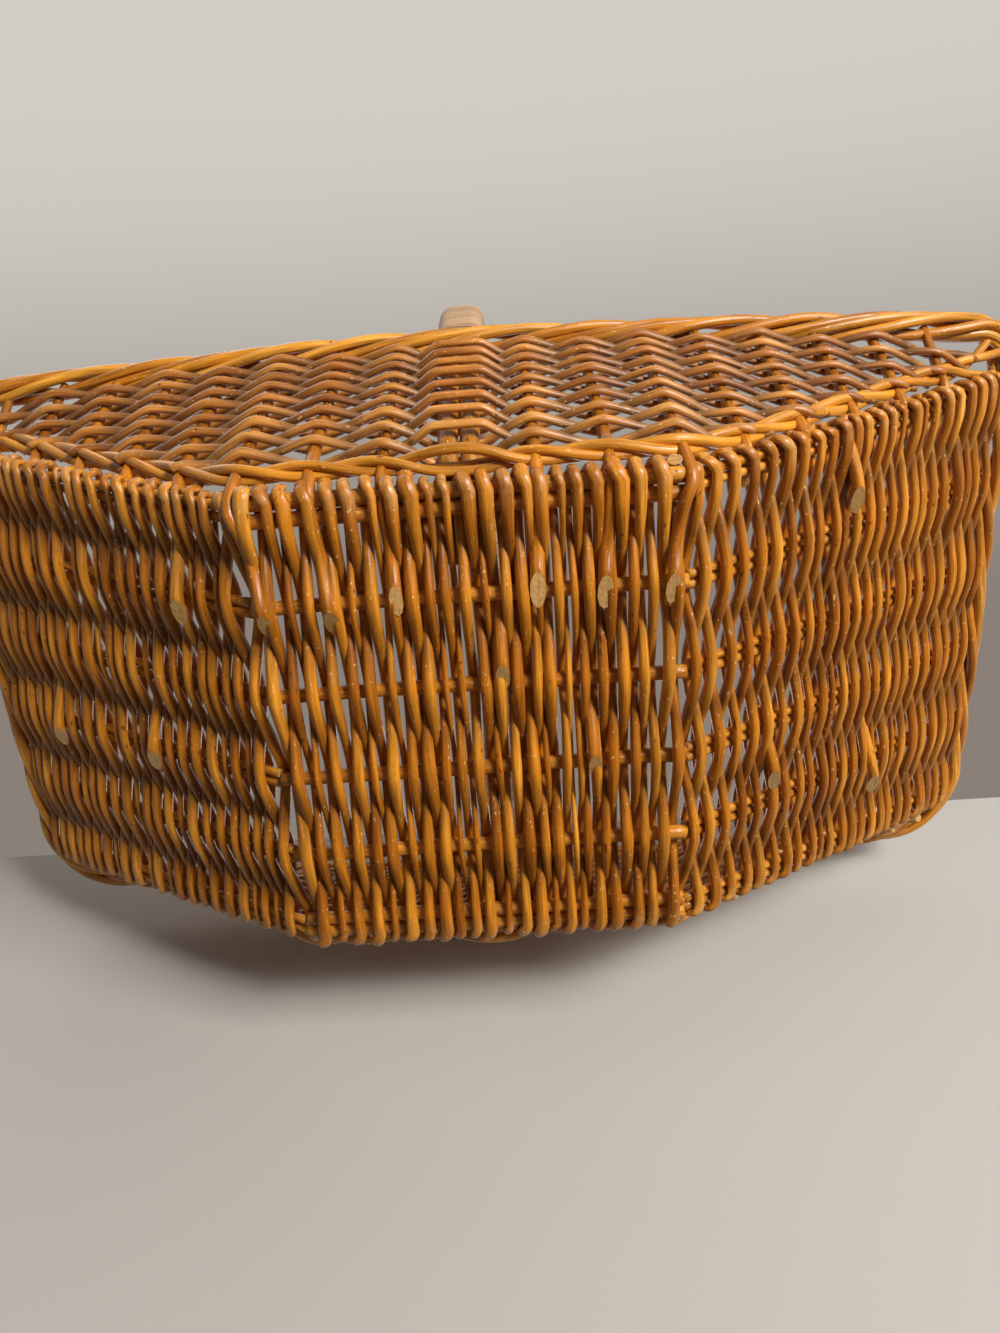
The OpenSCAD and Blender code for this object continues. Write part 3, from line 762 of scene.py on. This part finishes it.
def wall_stake_paths(butts_show):
    """A stake in two stretches: along the outside of the base to its edge, then up the wall. Where its butt
    shows on the floor it starts just past the first stick, where it comes to the surface, and elsewhere
    close to the edge."""
    x = np.concatenate([-stake_xs[::-1], stake_xs])
    t = np.maximum(np.abs(x) - fold_x, 0.0) / np.cos(end_angle)
    s = np.sign(x) * (np.minimum(np.abs(x), fold_x) + t)
    on_floor = (t < fold_near) & butts_show
    at_fold = np.abs(np.abs(x) - fold_x) < fold_near
    start = np.where(on_floor, first_line_y + rng.uniform(-7, 3, len(x)) * MM, edge_inner_y)[:, None]
    share = np.linspace(0, 1, stake_base_steps)
    v = -(start + (edge_outer_y - start) * share)
    wave = np.cos(2 * np.pi * (v + first_line_y) / (edge_line_y - first_line_y))
    at_edge = np.where(at_fold, 1.0, 0.25)[:, None]
    above = (0.60 + 0.45 * wave) * (1 + (at_edge - 1) * share ** 2)
    surface = np.where(on_floor[:, None], above, tucked)
    w = (stick_r + stake_r) * surface + np.where(on_floor[:, None], butt_rise * (1 - share) ** 3, 0.0)
    lean = np.where(on_floor, fan * x, 0.0)[:, None]
    on_base = base_point(s[:, None] + lean * (1 - share), v, w)
    foot_z = wall_foot(x)[:, 2]
    climb = np.linspace(0.02, 1, stake_wall_steps)
    z = foot_z[:, None] + (rim_z - foot_z)[:, None] * climb
    on_wall = wall_point(x[:, None], z, 0.0)
    return np.concatenate([on_base, on_wall], axis=1)


def softened(paths, passes):
    """Rounds bends: each inner point b between a and c moves to (a + 2 b + c) / 4, a few times over."""
    for _ in range(passes):
        inner = (paths[:, :-2] + 2 * paths[:, 1:-1] + paths[:, 2:]) / 4
        paths = np.concatenate([paths[:, :1], inner, paths[:, -1:]], axis=1)
    return paths


for side_name, carry in sides_of:
    paths = softened(wall_stake_paths(side_name == "front"), 2)
    count = len(paths)
    radii = stake_r * rng.uniform(0.92, 1.12, (count, 1)) * np.linspace(1.14, 0.8, paths.shape[1])
    # Painted shade on each stake's stretch up the wall, where the weavers cover it.
    painted_shade_share = wall_shade * (np.arange(paths.shape[1]) >= stake_base_steps + 2)[None, :]
    piece = rods(f"{side_name}_wall_stakes", carry(paths), radii, to_x, rng.uniform(0.1, 0.7, count), painted_shade_share,
                 sides=10, slant=np.tile([cut_lean[side_name], 0.2], (count, 1)))
    place(piece, "wall_weavers", base_finish, f"{side_name}_wall_stakes")

# %% [markdown]
# ## Foot row
# At the foot of the wall three long rods are woven round the stakes. Each comes out low, passes outside two
# stakes, rises over the next rod and goes in behind the third stake. So two of them always show, one above
# the other.

# %% Foot row
foot_rod_r = 2.0 * MM
foot_height = 7.4 * MM
foot_apart = 1.9 * MM
foot_inset = 1.6 * MM
foot_back = 0.6 * MM
foot_steps = 300
foot_dip = 0.58
foot_past = 15 * MM
foot_sink = 60 * MM
foot_end = {"front": 238 * MM, "back": 222 * MM}


def foot_paths(end):
    """Three rods a third of a round apart. A round is three stakes: out of the wall but for a dip at its
    start, and down, then up by a sine."""
    x = np.linspace(-end, end, foot_steps)
    both_x = np.concatenate([-phase_x[::-1], phase_x])
    both_at = np.concatenate([-phase_at[::-1], phase_at])
    stake = np.interp(x, both_x, both_at) / np.pi
    part = (stake + np.array([[1.0], [2.0], [3.0]])) % 3.0
    lift = wall_stake_r + foot_rod_r + (bow_r - wall_stake_r) * near_bow(x) - foot_inset
    inside = np.exp(-(np.minimum(part, 3 - part) / foot_dip) ** 2)
    slope = np.where(np.abs(x) > fold_x, end_angle, 0.0)
    up = -foot_apart * 1.1 * np.sin(2 * np.pi * part / 3) / np.cos(slope)
    rise = foot_height * np.clip((end + foot_past - np.abs(x)) / foot_sink, 0, 1)
    return wall_point(x, wall_foot(x)[:, 2] + rise + up, lift * (1 - 2 * inside) - foot_back)


for side_name, carry in sides_of:
    paths = softened(foot_paths(foot_end[side_name]), 30)
    swell = 1 + 0.07 * np.sin(np.linspace(0, 11, foot_steps))
    radii = foot_rod_r * np.array([[1.0], [0.94], [1.04]]) * swell
    piece = rods(f"{side_name}_foot_rods", carry(paths), radii, carry(outward), np.array([0.75, 0.55, 0.65]),
                 sides=12, slant=1.0)
    place(piece, "border_rods", border_finish, *[f"{side_name}_pairing_rod_{i}" for i in (1, 2, 3)])

# %% [markdown]
# ## Border
# The tops of the stakes are laid down and twisted into a rope that runs round the whole rim. Its middle
# line is four stretches with round corners, and the strands circle that line.

# %% Border rope
strand_count = 6
strand_r = 2.1 * MM
rope_orbit = 4.3 * MM
front_corner_r = 16 * MM
back_corner_r = 36 * MM
end_rise = 3.0 * MM
rise_reach = 60 * MM
twist_length = 150 * MM
rim_steps = 560
corner_steps = 24
side_steps = 100


def run_along(line):
    """Distance of each point of a line from its first point, along the line."""
    return np.concatenate([[0], np.cumsum(np.linalg.norm(np.diff(line, axis=0), axis=-1))])


def points_at(line, at):
    """Points of a flat line at the given distances along it."""
    run = run_along(line)
    return np.stack([np.interp(at, run, line[:, 0]), np.interp(at, run, line[:, 1])], axis=-1)


def arc(centre, radius, first, last, steps):
    """Points of a flat circle, from one turn to another: centre + radius * (cos, sin)."""
    turn = np.linspace(first, last, steps)
    return np.array(centre) + radius * np.stack([np.cos(turn), np.sin(turn)], axis=-1)


def round_corner(radius, first, last):
    """A corner of the border at the right: a quarter circle between two turns, about its own middle."""
    reach_y = rim_y(rim_x - radius) - radius
    middle_y = reach_y * np.sign(first + last)
    return arc((rim_x - radius, middle_y), radius, first, last, corner_steps)


def rim_line(count):
    """Middle of the border once round, evenly spaced: bowed sides, straight ends and round corners."""
    front_x = np.linspace(0, rim_x - front_corner_r, side_steps)
    back_x = np.linspace(rim_x - back_corner_r, 0, side_steps)
    right = np.concatenate([
        np.stack([front_x, -rim_y(front_x)], axis=-1),
        round_corner(front_corner_r, -np.pi / 2, 0)[1:],
        round_corner(back_corner_r, 0, np.pi / 2)[:-1],
        np.stack([back_x, rim_y(back_x)], axis=-1),
    ])
    left = right[-2::-1] * np.array([-1.0, 1.0])
    seam = side_steps + corner_steps - 2
    loop = np.concatenate([right[seam:], left, right[1:seam + 1]])
    at = np.linspace(0, run_along(loop)[-1], count)
    return points_at(loop, at), at


def border_paths():
    """Strands round the middle line: out by orbit * cos, up by orbit * sin, of an angle that grows."""
    flat, at = rim_line(rim_steps)
    way = unit(np.roll(flat, -1, axis=0) - np.roll(flat, 1, axis=0))
    way[0] = way[1]
    way[-1] = way[-2]
    out = np.stack([way[:, 1], -way[:, 0], np.zeros(rim_steps)], axis=-1)
    turns = np.round(at[-1] / twist_length)
    once = 2 * np.pi * at / at[-1]
    start = np.arange(strand_count)[:, None] * 2 * np.pi / strand_count
    angle = turns * once + start + 0.35 * np.sin(5 * once + 2 * start)
    orbit = rope_orbit * (1 + 0.12 * np.sin(3 * once + start))
    rise = end_rise * np.clip((np.abs(flat[:, :1]) - rim_x + rise_reach) / rise_reach, 0, 1) ** 2
    line = np.concatenate([flat, rim_z + rise], axis=-1)
    return line + out * (orbit * np.cos(angle))[..., None] + to_z * (orbit * np.sin(angle))[..., None]


strand = np.arange(strand_count)[:, None]
radii = strand_r * (1 + 0.06 * np.sin(np.linspace(0, 40, rim_steps) + strand * 2))
strand_tint = np.clip(0.6 + 0.35 * np.sin(np.linspace(0, 25, rim_steps) + strand * 1.7), 0, 1)
border_piece = rods("border_rods", border_paths(), radii, to_z, strand_tint, sides=12)
place(border_piece, "border_rods", border_finish, "rim_front", "rim_back", "rim_left", "rim_right")

# %% [markdown]
# ## Handle
# Two thick rods side by side form the bow. They follow the wall up, swing out past the border in round
# shoulders and cross over in a flatter crown. Above the border a flat split strip is wound round both.

# %% Bow line
shoulder_r = 100 * MM
crown_r = 180 * MM
bow_reach = 148 * MM
bow_step = 4 * MM
arc_steps = 80
bow_foot = np.array([-(hem_y + bow_r), stick_z])
bow_head = np.array([-rim_mid_y, rim_z])
bow_bend = np.array([[-62, 17.2], [-79, 17.4], [-91, 19.5], [-98, 24.5], [-104.5, 33]]) * MM


def bow_line(step):
    """The bow in the YZ plane, evenly spaced: a foot bent in over the edge of the floor, a leg up the wall,
    a shoulder, the crown, and the same down the other side."""
    lean = np.arctan2(bow_foot[0] - bow_head[0], bow_head[1] - bow_foot[1])
    shoulder_y = bow_reach - shoulder_r
    leg_top_y = -(shoulder_y + shoulder_r * np.cos(lean))
    leg_top_z = bow_head[1] + (bow_head[0] - leg_top_y) / np.tan(lean)
    shoulder_z = leg_top_z + shoulder_r * np.sin(lean)
    crown_turn = np.arcsin(shoulder_y / (crown_r - shoulder_r))
    crown_z = shoulder_z - (crown_r - shoulder_r) * np.cos(crown_turn)
    meeting = np.pi / 2 + crown_turn
    shoulder = arc((-shoulder_y, shoulder_z), shoulder_r, np.pi + lean, meeting, arc_steps)
    crown = arc((0.0, crown_z), crown_r, meeting, np.pi / 2, arc_steps)
    half = np.concatenate([bow_bend, shoulder, crown[1:]])
    loop = np.concatenate([half, half[-2::-1] * np.array([-1.0, 1.0])])
    length = run_along(loop)[-1]
    at = np.linspace(0, length, int(length / step) + 1)
    return points_at(loop, at), at


line, at = bow_line(bow_step)
bow_side = np.array([[-bow_x], [bow_x]])
bow_paths = softened(np.stack(np.broadcast_arrays(bow_side, line[:, 0], line[:, 1]), axis=-1), 3)
# Painted shade on the bow below the border.
bow_painted_shade = wall_shade * (bow_paths[..., 2] < rim_z)
bow_radii = (bow_r - rod_slack) * np.array([1.0, 0.97])
bow_piece = rods("bow_rods", bow_paths, bow_radii, to_x, np.array([0.35, 0.5]), bow_painted_shade, sides=16)
place(bow_piece, "sticks", stick_finish, "handle_bow_left", "handle_bow_right")

# %% [markdown]
# ## Handle wrapping
# The strip is wound in close turns. Its surface is a grid: one way along the bow, the other way round both
# rods. The edge of each turn is a fine groove that climbs once round for each turn, so the strip is one
# long helix.

# %% Wrapping surface
wrap_gap = 0.4 * MM
wrap_thick = 2.1 * MM
wrap_start = 5.0 * MM
wrap_step = 0.9 * MM
strip_width = 9.5 * MM
turn_length = 52 * MM
groove_share = 0.20
groove_depth = 0.75 * MM
wrap_round = 40


def wrap_section(count):
    """Outline round two rods, evenly spaced: half circles and straight runs, as X and away from the bow."""
    r = bow_r + wrap_gap
    straight = 2 * bow_x
    total = 2 * straight + 2 * np.pi * r
    at = np.arange(count) / count * total
    half = np.pi * r
    parts = [at < half, at < half + straight, at < 2 * half + straight]
    turn = np.where(parts[0], at / r - np.pi / 2, (at - half - straight) / r + np.pi / 2)
    x_parts = [bow_x + r * np.cos(turn), bow_x - (at - half), -bow_x + r * np.cos(turn)]
    x = np.select(parts, x_parts, -bow_x + (at - 2 * half - straight))
    normal_x = np.select(parts, [np.cos(turn), np.zeros(count), np.cos(turn)], 0.0)
    normal_y = np.select(parts, [np.sin(turn), np.ones(count), np.sin(turn)], -1.0)
    y = r * normal_y
    return x, y, normal_x, normal_y


def wrap_piece():
    """Strip: outline + thickness - depth * groove, where the groove follows length / width + share round."""
    line, at = bow_line(wrap_step)
    keep = line[:, 1] > rim_z + wrap_start
    line = line[keep]
    at = at[keep]
    way = unit(np.gradient(line, axis=0))
    away = np.stack([-way[:, 1], way[:, 0]], axis=-1)
    x, y, normal_x, normal_y = wrap_section(wrap_round)
    share = np.arange(wrap_round) / wrap_round
    turn = at[:, None] / strip_width + share[None, :]
    inside = np.abs((turn % 1.0) - 0.5) * 2
    groove = np.clip((inside - 1 + groove_share) / groove_share, 0, 1) ** 2
    slope = (turn % 1.0) - 0.5
    thick = wrap_thick * (0.86 + 0.14 * slope) - groove_depth * groove
    local_x = x + normal_x * thick
    local_y = y + normal_y * thick
    points = np.stack([
        local_x,
        line[:, :1] + away[:, :1] * local_y,
        line[:, 1:] + away[:, 1:] * local_y,
    ], axis=-1)
    quads, caps = ring_faces(1, len(line), wrap_round)
    grain = np.stack([
        (share[None, :] + np.floor(turn)) * turn_length,
        (turn % 1.0) * strip_width,
        np.zeros_like(turn),
    ], axis=-1)
    # The grooves between the turns get painted shade.
    values = {"tint": 0.5 + 0.5 * np.sin(np.floor(turn) * 2.4), "painted_shade": groove}
    piece = mesh_piece("handle_strip", points.reshape(-1, 3), quads, caps, values, grain.reshape(-1, 3))
    print("handle_strip", 2 * len(quads), "triangles")
    return piece


# %% Wrapping finish
strip_dark = (0.40, 0.235, 0.120, 1)
strip_light = (0.52, 0.33, 0.185, 1)
# Painted shade in the grooves between the turns of the strip.
groove_painted_shade = (0.10, 0.05, 0.022, 1)


def strip_finish():
    """Matt pale split strip: fibres along the strip and painted shade in the grooves between its turns."""
    material, tree, shader = new_finish("split_strip")
    tone = ramp(tree, attribute(tree, "tint"), [(0.0, strip_dark), (1.0, strip_light)])
    fibre = streaks(tree, scale=3000, stretch=30, detail=4)
    tone = stained(tree, tone, 0.7, fibre, (0.3, (0.68, 0.62, 0.56, 1)), (0.65, (1.1, 1.08, 1.05, 1)))
    tone = blend_colour(tree, attribute(tree, "painted_shade"), tone, groove_painted_shade)
    link(tree, tone, shader.inputs["Base Color"])
    shader.inputs["Roughness"].default_value = 0.62
    link(tree, ridges(tree, fibre, 0.5, 0.2 * MM).outputs["Normal"], shader.inputs["Normal"])
    return material


place(wrap_piece(), "handle_strip", strip_finish(), "handle_wrap")

# %% [markdown]
# ## Stage and light
# The basket stands on a pale floor. A second, low sheet stands close behind it, which the photo's view sees
# as the surface that the basket lies on. Each sheet shows only its front to the camera and lets light
# through, so the underside is lit and seen from below. Behind both, the world shows the camera and the
# varnish a pale plain wall with painted shade overhead, where the basket's shadow would fall, and it gives
# everything else a softer light.


# %% Stage
def seen_rays(tree):
    """Socket that is 1 for rays that show a picture: the sum of camera, mirrored and passed-on rays."""
    path = add_node(tree, "ShaderNodeLightPath")
    mirrored = worked_out(tree, "ADD", path.outputs["Is Camera Ray"], path.outputs["Is Glossy Ray"])
    return worked_out(tree, "ADD", mirrored, path.outputs["Is Transmission Ray"])


def show_mixed(tree, share, first, second, output):
    """Sends two shaders, mixed by a share, to the tree's output node."""
    mix = add_node(tree, "ShaderNodeMixShader")
    link(tree, share, mix.inputs["Fac"])
    link(tree, first, mix.inputs[1])
    link(tree, second, mix.inputs[2])
    link(tree, mix.outputs[0], tree.nodes[output].inputs["Surface"])


def one_sided(name, colour):
    """Matt finish that shows on its front only: what shows is the seen rays less the back faces."""
    material, tree, shader = new_finish(name)
    shader.inputs["Base Color"].default_value = colour
    shader.inputs["Roughness"].default_value = 0.9
    clear = add_node(tree, "ShaderNodeBsdfTransparent")
    back = add_node(tree, "ShaderNodeNewGeometry").outputs["Backfacing"]
    front = worked_out(tree, "SUBTRACT", seen_rays(tree), back)
    show_mixed(tree, front, clear.outputs[0], shader.outputs[0], "Material Output")
    return material


def sheet(name, corner, across, up, colour):
    """A flat sheet from one corner along two sides. Its front faces across x up."""
    corner = np.array(corner)
    across = np.array(across)
    up = np.array(up)
    points = [corner, corner + across, corner + across + up, corner + up]
    mesh = bpy.data.meshes.new(name)
    mesh.from_pydata([tuple(p) for p in points], [], [(0, 1, 2, 3)])
    mesh.materials.append(one_sided(name, colour))
    piece = bpy.data.objects.new(name, mesh)
    bpy.context.scene.collection.objects.link(piece)
    print(name, "sheet, colour", colour[:3])


floor_colour = (0.74, 0.69, 0.62, 1)
low_colour = (0.48, 0.44, 0.39, 1)
stage_wide = 8.0
floor_z = -2.2 * MM
low_y = 0.157
low_foot_z = -2.0
low_tall = 2.19
stage_x = -stage_wide / 2
sheet("floor", (stage_x, stage_x, floor_z), (stage_wide, 0, 0), (0, stage_wide, 0), floor_colour)
sheet("low_backdrop", (stage_x, low_y, low_foot_z), (stage_wide, 0, 0), (0, 0, low_tall), low_colour)

# %% Lights
pale_wall = (0.63, 0.615, 0.565, 1)
# Painted shade of the wall overhead, behind the basket.
shaded_wall = (0.255, 0.215, 0.185, 1)
soft_colour = (0.80, 0.79, 0.77, 1)
soft_strength = 0.20
lit_middle = Vector((0, 0, 0.08))


def soft_lamp(name, where, size, power):
    """A square lamp that faces the middle of the basket."""
    data = bpy.data.lights.new(name, "AREA")
    data.size = size
    data.energy = power
    lamp = bpy.data.objects.new(name, data)
    lamp.location = where
    lamp.rotation_euler = (lit_middle - Vector(where)).to_track_quat("-Z", "Y").to_euler()
    bpy.context.scene.collection.objects.link(lamp)
    print(name, power, "W")


def smooth_share(tree, value, low, high):
    """Socket that rises smoothly from 0 at low to 1 at high."""
    node = add_node(tree, "ShaderNodeMapRange", interpolation_type="SMOOTHSTEP")
    node.inputs["From Min"].default_value = low
    node.inputs["From Max"].default_value = high
    link(tree, value, node.inputs["Value"])
    return node.outputs["Result"]


def wall_colour(tree):
    """Pale all round, and painted shade overhead behind the basket: the shade is the product of two smooth
    steps, one of the direction's y and one of its z."""
    way = add_node(tree, "ShaderNodeSeparateXYZ")
    link(tree, add_node(tree, "ShaderNodeTexCoord").outputs["Generated"], way.inputs["Vector"])
    behind = smooth_share(tree, way.outputs["Y"], -0.25, 0.30)
    overhead = smooth_share(tree, way.outputs["Z"], 0.50, 0.72)
    return blend_colour(tree, worked_out(tree, "MULTIPLY", behind, overhead), pale_wall, shaded_wall)


soft_lamp("photo_key", (0.96, -1.04, -0.72), 0.6, 28.5)
soft_lamp("photo_sheen", (0.72, -0.95, -0.80), 0.25, 8)
soft_lamp("upper_key", (-0.7, -0.9, 1.3), 1.0, 5)
soft_lamp("upper_fill", (0.2, 1.6, 1.7), 1.8, 22)
world = bpy.data.worlds.new("studio")
world.use_nodes = True
tree = world.node_tree
soft = tree.nodes["Background"]
soft.inputs["Color"].default_value = soft_colour
soft.inputs["Strength"].default_value = soft_strength
wall = add_node(tree, "ShaderNodeBackground")
link(tree, wall_colour(tree), wall.inputs["Color"])
show_mixed(tree, seen_rays(tree), soft.outputs[0], wall.outputs[0], "World Output")
bpy.context.scene.world = world
bpy.context.scene.view_settings.view_transform = "Standard"
